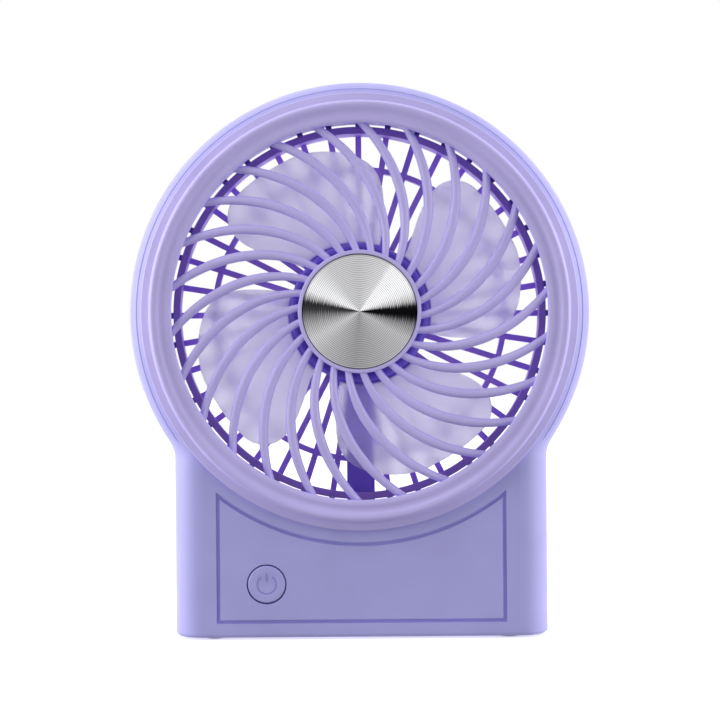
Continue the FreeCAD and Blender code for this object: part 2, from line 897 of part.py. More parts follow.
# ---- motor ----
def motor_retainer():
    """A flat steel plate with straight sides above and below, screwed over the motor's face."""
    plate = disc(retainer_radius, retainer_y, motor_front_y)
    cuts = [block(-far, far, retainer_y - over, motor_front_y + over, ring_z + motor_radius, far),
            block(-far, far, retainer_y - over, motor_front_y + over, -far, ring_z - motor_radius),
            disc(bushing_radius + retainer_hole_gap, retainer_y - over, motor_front_y + over)]
    for x in (-retainer_screw_offset, retainer_screw_offset):
        cuts.append(rod(x, ring_z, small_screw + small_clearance, retainer_y - over, motor_front_y + over))
    return plate.cut(cuts)


def retainer_screws():
    return Part.makeCompound([driven_screw(x, ring_z, retainer_y, retainer_thick + small_bite, -1)
                              for x in (-retainer_screw_offset, retainer_screw_offset)])


def motor_can():
    """The drawn steel case, with its front wall bored for the bushing."""
    body = disc(motor_radius, motor_front_y, motor_rear_y)
    body = body.cut(disc(motor_inside, motor_front_y + can_wall, motor_rear_y + over))
    return body.cut(disc(bushing_radius, motor_front_y - over, motor_front_y + can_wall + over))


def motor_magnets():
    ring = tube(motor_inside, motor_inside - magnet_thick, motor_front_y + magnet_front_gap,
                motor_rear_y - magnet_rear_gap)
    return ring.cut(block(-magnet_gap / 2, magnet_gap / 2, -far, far, -far, far))


def motor_end_cap():
    body = disc(motor_inside, end_cap_y, motor_rear_y)
    return body.cut([disc(bushing_radius, end_cap_y - over, motor_rear_y + over), terminal(-1), terminal(1)])


def terminal(side):
    """A tin-plated tab through the end cap, with a brush arm's root inside."""
    x = side * terminal_x
    return block(x - terminal_thick / 2, x + terminal_thick / 2, end_cap_y, motor_rear_y + terminal_proud,
                 ring_z - terminal_half, ring_z + terminal_half)


def motor_brushes():
    """Two copper leaves that bear on the commutator from each side."""
    leaves = []
    for side in (-1, 1):
        near = side * (commutator_radius + brush_gap)
        far_side = near + side * brush_thick
        root = side * (terminal_x + terminal_thick / 2)
        leaf = block(min(near, far_side), max(near, far_side), commutator_y + brush_thick, end_cap_y,
                     ring_z - brush_half, ring_z + brush_half)
        foot = block(min(near, root), max(near, root), end_cap_y - brush_thick, end_cap_y,
                     ring_z - brush_half, ring_z + brush_half)
        leaves.append(leaf.fuse(foot).removeSplitter())
    return Part.makeCompound(leaves)


def bushing(y0, y1):
    return tube(bushing_radius, shaft_radius + running_fit, y0, y1)


def rotor_core():
    """Poles of stacked steel sheet, pressed on the shaft."""
    arm = block(0, core_radius - core_rim / 2, core_y0, core_y1, ring_z - pole_half, ring_z + pole_half)
    ring = tube(core_radius, core_radius - core_rim, core_y0, core_y1)
    gap = block(core_radius / 2, far, core_y0 - over, core_y1 + over,
                ring_z - pole_slot / 2, ring_z + pole_slot / 2)
    body = fuse([ring, disc(core_hub_radius, core_y0, core_y1)] + round_of(arm, pole_count))
    body = body.cut([turned(piece, 180 / pole_count) for piece in round_of(gap, pole_count)])
    return body.cut(disc(shaft_radius, core_y0 - over, core_y1 + over))


def winding():
    """One coil of copper wire round the pole that points along +X."""
    inner = core_hub_radius + coil_gap
    outer = core_radius - core_rim - coil_gap
    coil = block(inner, outer, core_y0 - coil_end, core_y1 + coil_end, ring_z - coil_half, ring_z + coil_half)
    pole = block(0, far, core_y0, core_y1, ring_z - pole_half, ring_z + pole_half)
    coil = coil.cut([pole, disc(inner, core_y0 - over, core_y1 + over)])
    coil = coil.common(disc(outer, core_y0 - over, core_y1 + over))
    walls = [turned(block(0, far, -far, far, ring_z - coil_gap, ring_z + coil_gap), side * 180 / pole_count)
             for side in (-1, 1)]
    return max(coil.cut(walls).Solids, key=lambda solid: solid.Volume)


def rotor_windings():
    return Part.makeCompound(round_of(winding(), pole_count))


def commutator():
    return tube(commutator_radius, shaft_radius, commutator_y, end_cap_y - commutator_end_gap)


def motor_shaft():
    return disc(shaft_radius, shaft_front_y, motor_rear_y + shaft_proud)


# ---- wires ----
def pipe(points, bends, radius):
    """A wire along straight runs joined by tangent arcs; one bend for each inner point."""
    edges = []
    start = points[0]
    for index, bend in enumerate(bends):
        corner = points[index + 1]
        back = (points[index] - corner).normalize()
        ahead = (points[index + 2] - corner).normalize()
        half = back.getAngle(ahead) / 2
        trim = bend / math.tan(half)
        enter = corner + back * trim
        leave = corner + ahead * trim
        bisector = (back + ahead).normalize()
        middle = corner + bisector * (bend / math.sin(half) - bend)
        edges.append(Part.makeLine(start, enter))
        edges.append(Part.Arc(enter, middle, leave).toShape())
        start = leave
    edges.append(Part.makeLine(start, points[-1]))
    path = Part.Wire(edges)
    section = Part.Wire([Part.makeCircle(radius, points[0], points[1] - points[0])])
    return path.makePipeShell([section], True, True)


def motor_wires():
    """From the terminals down behind the cover, and forward over the cell to the board."""
    wires = []
    y = motor_rear_y + terminal_proud / 2 + wire_start_gap
    for side in (-1, 1):
        x = side * wire_x
        level = wire_z - side * wire_spread / 2
        end_x = wire_end_x + side * wire_spread / 2
        points = [Vector(x, y, ring_z - terminal_half), Vector(x, y, level), Vector(end_x, y, level),
                  Vector(end_x, board_back_y, level)]
        wires.append(pipe(points, [wire_bend, wire_bend], wire_radius))
    return Part.makeCompound(wires)


def battery_wires():
    """From the contacts, along the top of the holder, and forward to the board."""
    wires = []
    y = cell_y - lead_setback
    reach = contact_thick + lead_end_gap
    for number, start_x in enumerate((cell_start_x - reach, cell_end_x + reach)):
        end_x = board_end_x - lead_end_margin - wire_spread * number
        points = [Vector(start_x, y, cell_z + lead_start_height), Vector(start_x, y, lead_z),
                  Vector(end_x, y, lead_z), Vector(end_x, board_back_y, lead_z)]
        wires.append(pipe(points, [lead_bend, lead_bend], wire_radius))
    return Part.makeCompound(wires)


# ---- battery ----
def along_x(radius, x0, x1, y, z):
    return Part.makeCylinder(radius, x1 - x0, Vector(x0, y, z), Vector(1, 0, 0))


def battery_cell():
    body = along_x(cell_radius, cell_start_x, cell_end_x - cell_step, cell_y, cell_z)
    ends = [edge for edge in body.Edges if edge.BoundBox.XLength < flat]
    body = body.makeFillet(cell_round, ends)
    return body.fuse(along_x(cell_button_radius, cell_end_x - 2 * cell_step, cell_end_x, cell_y, cell_z))


def contact_pocket(x0, rise):
    """A contact plate's block; with a rise it is the slot that the plate slides down."""
    return block(x0, x0 + contact_thick, cell_y - contact_half, cell_y + contact_half,
                 cell_z - contact_half, cell_z + contact_half + rise)


def battery_contacts():
    return Part.makeCompound([contact_pocket(cell_start_x - contact_thick, 0), contact_pocket(cell_end_x, 0)])


def battery_holder():
    """An open cradle: round below the cell, with a slotted wall at each end."""
    x0 = cell_start_x - contact_thick
    x1 = cell_end_x + contact_thick
    half = cell_radius + holder_wall
    room = cell_radius + cell_fit
    rim_z = cell_z + holder_rise
    body = block(x0 - holder_end, x1 + holder_end, cell_y - half, cell_y + half, holder_z, rim_z)
    cuts = [along_x(room, cell_start_x, cell_end_x, cell_y, cell_z),
            block(cell_start_x, cell_end_x, cell_y - room, cell_y + room, cell_z, far),
            contact_pocket(x0, far), contact_pocket(cell_end_x, far),
            block(x0 - holder_end - over, x0, cell_y - throat_half, cell_y + throat_half, cell_z - over, far),
            block(x1, x1 + holder_end + over, cell_y - throat_half, cell_y + throat_half, cell_z - over, far)]
    return body.cut(cuts)


# ---- control ----
def main_board():
    body = block(board_start_x, board_end_x, board_y, board_back_y, board_low_z, board_high_z)
    return body.cut([rod(x, z, small_screw + small_clearance, board_y - over, board_back_y + over)
                     for x, z in board_places()])


def tact_switch():
    half = switch_half
    body = block(button_x - half, button_x + half, switch_y, board_y, button_z - half, button_z + half)
    upright = [edge for edge in body.Edges if edge.BoundBox.YLength > switch_depth / 2]
    body = body.makeChamfer(switch_chamfer, upright)
    room = plunger_bury + button_travel + plunger_room
    return body.cut(rod(button_x, button_z, plunger_radius + plunger_play, switch_y - over, switch_y + room))


def switch_plunger():
    return rod(button_x, button_z, plunger_radius, switch_y - plunger_proud, switch_y + plunger_bury)


def power_button():
    """A round cap with a shallow dish, a collar that keeps it in, and a stem on the switch."""
    front = face_y - button_proud
    collar_y = face_y + wall + button_collar_gap
    collar_end = collar_y + collar_thick
    cap = rod(button_x, button_z, button_radius, front, collar_end)
    rim = [edge for edge in cap.Edges if edge.BoundBox.YMax < front + flat]
    cap = cap.makeFillet(button_round, rim)
    dish = Part.makeSphere(dish_radius, Vector(button_x, front + dish_depth - dish_radius, button_z))
    collar = rod(button_x, button_z, button_radius + collar_width, collar_y, collar_end)
    stem = rod(button_x, button_z, stem_radius, collar_y, switch_y - plunger_proud)
    return fuse([cap.cut(dish), collar, stem])


# ---- charging ----
def slot_bar(grow, y0, y1):
    """A bar with round ends, the shape of the charge socket and its hole."""
    half = socket_height / 2 + grow
    reach = socket_width / 2 - socket_height / 2
    body = block(socket_x - reach, socket_x + reach, y0, y1, socket_z - half, socket_z + half)
    ends = [rod(socket_x + side * reach, socket_z, half, y0, y1) for side in (-1, 1)]
    return body.fuse(ends).removeSplitter()


def charge_socket():
    floor_y = socket_rear_y - socket_depth
    body = slot_bar(0, socket_front_y, socket_rear_y)
    body = body.cut(slot_bar(-socket_wall, floor_y, socket_rear_y + over))
    low_z = socket_z - tongue_half_height
    high_z = socket_z + tongue_half_height
    tongue = block(socket_x - tongue_half_width, socket_x + tongue_half_width, floor_y - weld,
                   socket_rear_y - tongue_inset, low_z, high_z)
    return body.fuse(tongue).removeSplitter()


def charge_screw_places():
    return [(socket_x + side * (charge_half - charge_screw_margin), charge_screw_y) for side in (-1, 1)]


def charge_board():
    body = block(socket_x - charge_half, socket_x + charge_half, charge_screw_y - charge_front_margin,
                 inner_rear_y - charge_rear_gap, charge_z, charge_top)
    return body.cut([post(x, y, small_screw + small_clearance, charge_z - over, charge_top + over)
                     for x, y in charge_screw_places()])


def charge_lamp():
    """A clear light pipe from the lamp on the charge board to the rear face."""
    body = rod(lamp_x, socket_z, lamp_radius, inner_rear_y - lamp_reach, rear_y - lamp_inset)
    foot_y = inner_rear_y - lamp_foot_setback
    foot = block(lamp_x - lamp_foot_half, lamp_x + lamp_foot_half, foot_y, foot_y + lamp_foot_depth,
                 charge_top, socket_z + lamp_radius / 2)
    return body.fuse(foot).removeSplitter()


def board_screws():
    screws = [driven_screw(x, z, board_back_y, board_thick + small_bite, 1) for x, z in board_places()]
    for x, y in charge_screw_places():
        shank = post(x, y, small_screw, charge_z - small_bite, charge_top)
        screws.append(shank.fuse(post(x, y, small_head, charge_top, charge_top + small_head_depth)))
    return Part.makeCompound(screws)


def main():
    solid = blank(0)
    shell = solid.cut(blank(wall))
    keep("front_housing", front_housing(solid, shell))
    keep("rear_housing", rear_housing(shell))
    keep("housing_screws", housing_screws())
    keep("rubber_feet", rubber_feet())
    keep("front_grille", front_grille())
    keep("grille_screws", grille_screws())
    keep("front_badge", front_badge())
    keep("impeller", impeller())
    keep("rear_grille", rear_grille())
    keep("wire_cover", wire_cover())
    keep("motor_retainer", motor_retainer())
    keep("retainer_screws", retainer_screws())
    keep("motor_can", motor_can())
    keep("motor_magnets", motor_magnets())
    keep("motor_end_cap", motor_end_cap())
    keep("motor_terminals", Part.makeCompound([terminal(-1), terminal(1)]))
    keep("motor_brushes", motor_brushes())
    keep("front_bushing", bushing(retainer_y, motor_front_y + front_bushing_reach))
    keep("rear_bushing", bushing(end_cap_y, motor_rear_y + rear_bushing_proud))
    keep("motor_shaft", motor_shaft())
    keep("rotor_core", rotor_core())
    keep("rotor_windings", rotor_windings())
    keep("commutator", commutator())
    keep("motor_wires", motor_wires())
    keep("battery_cell", battery_cell())
    keep("battery_contacts", battery_contacts())
    keep("battery_holder", battery_holder())
    keep("battery_wires", battery_wires())
    keep("main_board", main_board())
    keep("tact_switch", tact_switch())
    keep("switch_plunger", switch_plunger())
    keep("power_button", power_button())
    keep("charge_board", charge_board())
    keep("charge_socket", charge_socket())
    keep("charge_lamp", charge_lamp())
    keep("board_screws", board_screws())
    os.makedirs("parts", exist_ok=True)
    for name, shape in PARTS.items():
        shape.exportStep("parts/" + name + ".step")
        print(name, "solids", len(shape.Solids), "valid", shape.isValid(), "volume", round(shape.Volume, 1))


main()
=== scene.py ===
# %% [markdown]
# A small desk fan in lilac plastic, finished around its engineering model.
# The shells, grilles and blades come from that model at their true size, so this lesson gives them
# their moulded finish, and makes the pieces that need finer work than a mould drawing holds.

# %% Load the fan's frame
import math

import bmesh
import bpy
from mathutils import Matrix, Vector


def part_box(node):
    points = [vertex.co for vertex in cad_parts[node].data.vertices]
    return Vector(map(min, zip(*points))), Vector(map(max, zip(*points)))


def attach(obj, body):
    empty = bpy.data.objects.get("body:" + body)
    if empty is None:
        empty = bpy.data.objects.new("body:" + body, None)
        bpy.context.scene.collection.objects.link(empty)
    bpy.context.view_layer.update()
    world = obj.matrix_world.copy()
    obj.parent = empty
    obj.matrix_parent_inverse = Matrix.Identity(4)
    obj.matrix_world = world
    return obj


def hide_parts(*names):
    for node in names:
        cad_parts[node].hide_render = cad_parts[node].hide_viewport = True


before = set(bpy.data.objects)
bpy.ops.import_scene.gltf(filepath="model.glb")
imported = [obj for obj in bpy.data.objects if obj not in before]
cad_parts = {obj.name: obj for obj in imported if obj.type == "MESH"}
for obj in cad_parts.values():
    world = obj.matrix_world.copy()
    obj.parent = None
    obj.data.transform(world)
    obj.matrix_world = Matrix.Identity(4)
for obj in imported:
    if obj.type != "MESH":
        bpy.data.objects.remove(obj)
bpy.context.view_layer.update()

MM = 0.001
print("pieces in the frame:", len(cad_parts))

# %% [markdown]
# Everything on the head is measured from the fan's own axis, so the badge's box gives that axis:
# its middle is the middle of the head, and the camera's distance is measured from its front face.

# %% Find the fan's axis
badge_low, badge_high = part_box("front_badge")
AXIS_Z = (badge_low.z + badge_high.z) / 2
BADGE_Y = badge_low.y
BADGE_RADIUS = (badge_high.x - badge_low.x) / 2
print("axis height mm:", round(AXIS_Z / MM, 2), "badge radius mm:", round(BADGE_RADIUS / MM, 2))

# %% [markdown]
# A product picture is taken square on, from a little below the middle of the head, with a lens
# long enough to keep the base from bulging. The picture leans by less than half a degree.

# %% Camera
EYE_DISTANCE = 0.475
EYE_HEIGHT = 0.0866
SENSOR_WIDTH = 36.0
LENS = 77.0
LEAN = math.radians(-0.45)
camera_data = bpy.data.cameras.new("camera")
camera_data.sensor_width = SENSOR_WIDTH
camera_data.lens = LENS
camera = bpy.data.objects.new("camera", camera_data)
bpy.context.scene.collection.objects.link(camera)
camera.matrix_world = (Matrix.Translation((0, BADGE_Y - EYE_DISTANCE, EYE_HEIGHT))
                       @ Matrix.Rotation(math.radians(90), 4, "X") @ Matrix.Rotation(LEAN, 4, "Z"))
bpy.context.scene.camera = camera
print("camera stands", EYE_DISTANCE, "m in front of the badge")

# %% [markdown]
# The studio is a white sweep, brightest behind the fan and dim on the camera's side. Two soft
# boxes at the sides, a little in front, light the rounded flanks and the slopes of the ring more
# than the flat front, which stays a deeper lilac. A card in front gives the steel badge something
# bright to mirror; it lights nothing that is dull.
# The sky is shaded by direction: Y is -1 straight in front of the fan and 1 behind it, and Z is -1
# straight below. The camera itself sees plain white, whichever way it looks.

# %% The sky
def graded(tree, source, start, end, low, high):
    """A value that climbs from low to high while its source goes from start to end."""
    node = tree.nodes.new("ShaderNodeMapRange")
    node.inputs["From Min"].default_value = start
    node.inputs["From Max"].default_value = end
    node.inputs["To Min"].default_value = low
    node.inputs["To Max"].default_value = high
    tree.links.new(source, node.inputs["Value"])
    return node.outputs["Result"]


def sky(front, back, below):
    """Surroundings that look white, but light the fan less from the front and from below."""
    world = bpy.data.worlds.new("studio")
    bpy.context.scene.world = world
    world.use_nodes = True
    tree = world.node_tree
    background = tree.nodes["Background"]
    background.inputs["Color"].default_value = (1.0, 1.0, 1.0, 1.0)
    coordinates = tree.nodes.new("ShaderNodeTexCoord")
    split = tree.nodes.new("ShaderNodeSeparateXYZ")
    tree.links.new(coordinates.outputs["Generated"], split.inputs["Vector"])
    along = graded(tree, split.outputs["Y"], -1.0, 0.3, front, back)
    upward = graded(tree, split.outputs["Z"], -0.5, 0.0, below, 1.0)
    strength = tree.nodes.new("ShaderNodeMath")
    strength.operation = "MULTIPLY"
    tree.links.new(along, strength.inputs[0])
    tree.links.new(upward, strength.inputs[1])
    path = tree.nodes.new("ShaderNodeLightPath")
    shown = tree.nodes.new("ShaderNodeMix")
    shown.inputs["B"].default_value = 1.0
    tree.links.new(path.outputs["Is Camera Ray"], shown.inputs["Factor"])
    tree.links.new(strength.outputs["Value"], shown.inputs["A"])
    tree.links.new(shown.outputs["Result"], background.inputs["Strength"])


sky(front=0.12, back=1.15, below=0.7)
bpy.context.scene.view_settings.view_transform = "Standard"
print("sky made")

# %% [markdown]
# A soft box is a square area light. One function places them all and turns each to the head, so
# that a light can be moved without aiming it again.

# %% Soft boxes
MIDDLE = Vector((0, 0, AXIS_Z))


def softbox(name, place, size, power):
    """A square area light that faces the middle of the head."""
    data = bpy.data.lights.new(name, "AREA")
    data.shape = "SQUARE"
    data.size = size
    data.energy = power
    lamp = bpy.data.objects.new(name, data)
    bpy.context.scene.collection.objects.link(lamp)
    lamp.location = place
    lamp.rotation_euler = (MIDDLE - Vector(place)).to_track_quat("-Z", "Y").to_euler()
    return lamp


softbox("key_light", (-0.25, -0.5, 0.9), size=0.35, power=1.0)
softbox("top_light", (0.0, 0.2, 1.0), size=0.8, power=0.9)
softbox("left_light", (-0.7, -0.12, 0.2), size=0.6, power=4.2)
softbox("right_light", (0.7, -0.12, 0.2), size=0.6, power=3.5)
card = softbox("front_card", (0.0, -0.95, 0.2), size=0.7, power=1.6)
card.visible_diffuse = False

# %% [markdown]
# The table is one pale sheet, large enough that its edge melts into the white round it. A white
# table would throw its light up on the front of the fan, so it is kept out of the soft bounces.

# %% Table
TABLE_HALF = 4.0
TABLE_TONE = 0.93
TABLE_GLOW = 0.45


def plain_table():
    bm = bmesh.new()
    bmesh.ops.create_grid(bm, x_segments=1, y_segments=1, size=TABLE_HALF)
    mesh = bpy.data.meshes.new("table")
    bm.to_mesh(mesh)
    bm.free()
    table = bpy.data.objects.new("table", mesh)
    bpy.context.scene.collection.objects.link(table)
    material = bpy.data.materials.new("pale_table")
    material.use_nodes = True
    tree = material.node_tree
    shader = tree.nodes["Principled BSDF"]
    shader.inputs["Base Color"].default_value = (TABLE_TONE, TABLE_TONE, TABLE_TONE, 1)
    shader.inputs["Roughness"].default_value = 0.8
    shader.inputs["Emission Color"].default_value = (1, 1, 1, 1)
    shader.inputs["Emission Strength"].default_value = TABLE_GLOW
    mesh.materials.append(material)
    table.visible_diffuse = False


plain_table()
print("table made")

# %% [markdown]
# Moulded plastic is never one flat colour. Pigment drifts a little through the melt, the tool's
# fine spark texture scatters the light, and the gloss changes where the plastic ran thin. Each of
# these is a soft random cloud, so the small helpers come first: a colour, a cloud, a blend of two
# tones, and a grain that is pressed in by a real depth.

# %% Colours and clouds
def linear(red, green, blue):
    """A colour as a paint chart gives it, 0 to 255, in the values that a shader wants."""
    def one(value):
        value = value / 255
        return value / 12.92 if value <= 0.04045 else ((value + 0.055) / 1.055) ** 2.4
    return (one(red), one(green), one(blue), 1.0)


def start_material(name):
    material = bpy.data.materials.new(name)
    material.use_nodes = True
    tree = material.node_tree
    return material, tree, tree.nodes["Principled BSDF"]


def noise(tree, scale, detail=2.0):
    """Soft random cloud in the piece's own space; scale is in features for each metre."""
    coordinates = tree.nodes.new("ShaderNodeTexCoord")
    texture = tree.nodes.new("ShaderNodeTexNoise")
    texture.inputs["Scale"].default_value = scale
    texture.inputs["Detail"].default_value = detail
    tree.links.new(coordinates.outputs["Object"], texture.inputs["Vector"])
    return texture.outputs["Fac"]


def spread(tree, source, low, high):
    """Turns a cloud, which seldom leaves 0.3 to 0.7, into values from low to high."""
    return graded(tree, source, 0.3, 0.7, low, high)


def two_tone(tree, factor, first, second):
    node = tree.nodes.new("ShaderNodeMix")
    node.data_type = "RGBA"
    node.inputs["A"].default_value = first
    node.inputs["B"].default_value = second
    tree.links.new(factor, node.inputs["Factor"])
    return node.outputs["Result"]


def grain(tree, shader, scale, depth):
    """Fine tool texture, pressed into the surface by a real distance in metres."""
    bump = tree.nodes.new("ShaderNodeBump")
    bump.inputs["Strength"].default_value = 1.0
    bump.inputs["Distance"].default_value = depth
    tree.links.new(noise(tree, scale, 3.0), bump.inputs["Height"])
    tree.links.new(bump.outputs["Normal"], shader.inputs["Normal"])


def shade_of(colour, factor):
    return (colour[0] * factor, colour[1] * factor, colour[2] * factor, 1.0)


print("lilac in a shader's own values:", [round(value, 3) for value in linear(184, 180, 245)])

# %% [markdown]
# One function now builds the moulded finish from those helpers, and each piece gives its own
# colour, gloss and grain. The same function could be copied for each piece and changed by hand,
# but then a better grain would have to be found ten times.

# %% Moulded plastic
DRIFT_SCALE = 45.0
GLOSS_SCALE = 160.0
FINE_GRAIN = 0.012 * MM
SOFT_GRAIN = 0.03 * MM
FROST_GRAIN = 0.01 * MM


def moulded(name, colour, gloss=0.45, drift=0.05, scale=2600.0, depth=FINE_GRAIN):
    """Pigment that drifts, gloss that wanders by a twentieth, and a fine grain."""
    material, tree, shader = start_material(name)
    cloud = spread(tree, noise(tree, DRIFT_SCALE), 0.0, 1.0)
    tone = two_tone(tree, cloud, shade_of(colour, 1 - drift), shade_of(colour, 1 + drift))
    tree.links.new(tone, shader.inputs["Base Color"])
    roughness = spread(tree, noise(tree, GLOSS_SCALE), gloss - 0.05, gloss + 0.05)
    tree.links.new(roughness, shader.inputs["Roughness"])
    grain(tree, shader, scale, depth)
    return material


def dress(material, *nodes):
    """Puts a material on the frame's own pieces."""
    for node in nodes:
        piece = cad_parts[node]
        if not piece.material_slots:
            piece.data.materials.append(None)
        for slot in piece.material_slots:
            slot.material = material


LILAC = linear(184, 180, 245)
GRILLE_LILAC = linear(203, 192, 252)
# The rear grille is the same lilac plastic as the shells; its deeper violet is painted shade, the
# shade it sits in deep inside the fan.
REAR_VIOLET_PAINTED_SHADE = linear(182, 140, 246)
dress(moulded("shell_lilac", LILAC), "front_housing", "rear_housing")
dress(moulded("grille_lilac", GRILLE_LILAC, gloss=0.38, scale=3200.0), "front_grille")
dress(moulded("rear_violet_painted_shade", REAR_VIOLET_PAINTED_SHADE, gloss=0.5), "rear_grille")
# The wire cover is the same lilac plastic too; its darker violet is painted shade, the shade it lies
# in behind the blades.
dress(moulded("cover_violet_painted_shade", linear(140, 108, 226), gloss=0.5), "wire_cover")
dress(moulded("button_lilac", linear(182, 178, 244), gloss=0.36, scale=3600.0), "power_button")
print("moulded finishes:", len(bpy.data.materials))

# %% [markdown]
# The impeller is moulded in a frosted, cloudy resin. The blades are thin, so light comes through
# them, softened by their rough faces, while the hub is thick and lets less through. The hub's deep
# violet is painted shade, the shade it sits in behind the grille's centre. One material does both:
# the distance from the axis picks the tone and how much light passes.

# %% Frosted impeller
HUB_EDGE = 22.5 * MM
TONE_FADE = 0.8 * MM
# painted shade: the hub's violet stands for the shade it sits in behind the grille's centre
HUB_PAINTED_SHADE = linear(140, 120, 226)
BLADE_PALE = linear(243, 241, 255)
RESIN_REACH = (3.0 * MM, 3.0 * MM, 3.5 * MM)
FROST_CLOUD = 220.0
FROST_SCALE = 1800.0
LIGHT_THROUGH = 0.7


def frosted_blades():
    material, tree, shader = start_material("frosted_blades")
    coordinates = tree.nodes.new("ShaderNodeTexCoord")
    centre = tree.nodes.new("ShaderNodeMapping")
    centre.inputs["Location"].default_value = (0, 0, -AXIS_Z)
    flat = tree.nodes.new("ShaderNodeVectorMath")
    flat.operation = "MULTIPLY"
    flat.inputs[1].default_value = (1, 0, 1)
    length = tree.nodes.new("ShaderNodeVectorMath")
    length.operation = "LENGTH"
    tree.links.new(coordinates.outputs["Object"], centre.inputs["Vector"])
    tree.links.new(centre.outputs["Vector"], flat.inputs[0])
    tree.links.new(flat.outputs["Vector"], length.inputs[0])
    blade_share = graded(tree, length.outputs["Value"], HUB_EDGE, HUB_EDGE + TONE_FADE, 0.0, 1.0)
    tone = two_tone(tree, blade_share, HUB_PAINTED_SHADE, BLADE_PALE)
    tree.links.new(tone, shader.inputs["Base Color"])
    roughness = spread(tree, noise(tree, FROST_CLOUD), 0.82, 0.9)
    tree.links.new(roughness, shader.inputs["Roughness"])
    light_through = graded(tree, blade_share, 0.0, 1.0, 0.0, LIGHT_THROUGH)
    tree.links.new(light_through, shader.inputs["Transmission Weight"])
    shader.inputs["IOR"].default_value = 1.15
    shader.inputs["Subsurface Weight"].default_value = 0.7
    shader.inputs["Subsurface Radius"].default_value = RESIN_REACH
    shader.inputs["Subsurface Scale"].default_value = 1.0
    grain(tree, shader, FROST_SCALE, FROST_GRAIN)
    return material


dress(frosted_blades(), "impeller")
print("impeller dressed")

# %% [markdown]
# The badge is a thin steel disc, turned on a lathe with one very fine groove after another. A lathe
# is exactly what the spin operator is: one profile, swept round the axis. The grooves are real, and
# the disc keeps the angle round the axis in its UV map, so the painted reflection of bright and dark
# sectors that such steel shows can follow it.

# %% Spun badge
GROOVES = 32
GROOVE_DEPTH = 0.05 * MM
RIM_WIDTH = 0.4 * MM
RIM_DROP = 0.25 * MM
BADGE_STEPS = 180


def turned_profile():
    """From the centre out: ridge and valley in turn, then a small rim and the disc's edge."""
    points = []
    rim = BADGE_RADIUS - RIM_WIDTH
    for step in range(2 * GROOVES + 1):
        radius = rim * step / (2 * GROOVES)
        points.append((radius, BADGE_Y + (GROOVE_DEPTH if step % 2 else 0.0)))
    points.append((BADGE_RADIUS, BADGE_Y + RIM_DROP))
    points.append((BADGE_RADIUS, badge_high.y))
    points.append((0.0, badge_high.y))
    return points


def spun(profile, steps):
    """Sweeps a profile of (radius, y) points round the fan's axis."""
    bm = bmesh.new()
    verts = [bm.verts.new((radius, y, AXIS_Z)) for radius, y in profile]
    edges = [bm.edges.new(pair) for pair in zip(verts, verts[1:])]
    bmesh.ops.spin(bm, geom=verts + edges, cent=(0, 0, AXIS_Z), axis=(0, 1, 0),
                   angle=math.tau, steps=steps, use_merge=True)
    bmesh.ops.remove_doubles(bm, verts=bm.verts, dist=1e-7)
    bmesh.ops.recalc_face_normals(bm, faces=bm.faces)
    return bm


ON_AXIS = 0.001 * MM


def angle_map(bm):
    """UV: across is the turn round the axis, up is the distance from it.

    A face that meets the seam goes on past it, and a point on the axis takes its face's own turn.
    """
    layer = bm.loops.layers.uv.new("round")
    for face in bm.faces:
        middle = face.calc_center_median()
        base = math.atan2(middle.z - AXIS_Z, middle.x) / math.tau
        for loop in face.loops:
            spot = loop.vert.co
            radius = math.hypot(spot.x, spot.z - AXIS_Z)
            turn = math.atan2(spot.z - AXIS_Z, spot.x) / math.tau if radius > ON_AXIS else base
            turn += round(base - turn)
            loop[layer].uv = (turn, radius / BADGE_RADIUS)


print("points on the badge's profile:", len(turned_profile()))

# %% [markdown]
# Each new piece ends in the same way: its bmesh becomes a mesh with one material, shades smooth
# except at sharp edges, and rides on one of the fan's bodies.

# %% A finished piece
def make_piece(name, bm, material, body, smooth_below=30.0):
    """Turns a bmesh into a finished piece that rides on one of the fan's bodies."""
    mesh = bpy.data.meshes.new(name)
    bm.to_mesh(mesh)
    bm.free()
    mesh.materials.append(material)
    piece = bpy.data.objects.new(name, mesh)
    bpy.context.scene.collection.objects.link(piece)
    mesh.shade_smooth()
    mesh.set_sharp_from_angle(angle=math.radians(smooth_below))
    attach(piece, body)
    return piece


# %% [markdown]
# Turned steel mirrors the room in bright and dark sectors, because the tool's marks run round it.
# Those marks are finer than a mesh can hold, so the sectors are a painted reflection: a ramp of greys
# round the disc. A little noise that changes from ring to ring makes their edges ragged, and a sine
# wave adds painted groove shade, as many fine dark rings as there are grooves.

# %% Spun steel
RAGGED_EDGE = 0.008
GROOVE_SHADE = 0.45
# painted reflection: the grey of the mirrored room at each angle round the disc, in degrees
PAINTED_REFLECTION_SECTORS = [(0, 12), (6, 20), (11, 190), (20, 240), (32, 252), (54, 246), (58, 215), (90, 196),
           (125, 204), (148, 240), (157, 240), (164, 175), (169, 40), (178, 60), (195, 165),
           (210, 200), (230, 176), (265, 150), (300, 170), (330, 184), (343, 140), (351, 50),
           (354, 12)]


def maths(tree, operation, first, second=0.0):
    """One sum; each input is a socket or a plain number."""
    node = tree.nodes.new("ShaderNodeMath")
    node.operation = operation
    for place, value in enumerate((first, second)):
        if isinstance(value, float):
            node.inputs[place].default_value = value
        else:
            tree.links.new(value, node.inputs[place])
    return node.outputs["Value"]


def painted_reflection_greys(tree, turn):
    """Painted reflection: greys round the disc, from a list of (degrees, grey)."""
    ramp = tree.nodes.new("ShaderNodeValToRGB")
    for place, _ in PAINTED_REFLECTION_SECTORS[1:-1]:
        ramp.color_ramp.elements.new(place / 360)
    for element, (place, grey) in zip(ramp.color_ramp.elements, PAINTED_REFLECTION_SECTORS):
        element.position = place / 360
        element.color = linear(grey, grey, grey + 2)
    tree.links.new(turn, ramp.inputs["Fac"])
    return ramp.outputs["Color"]


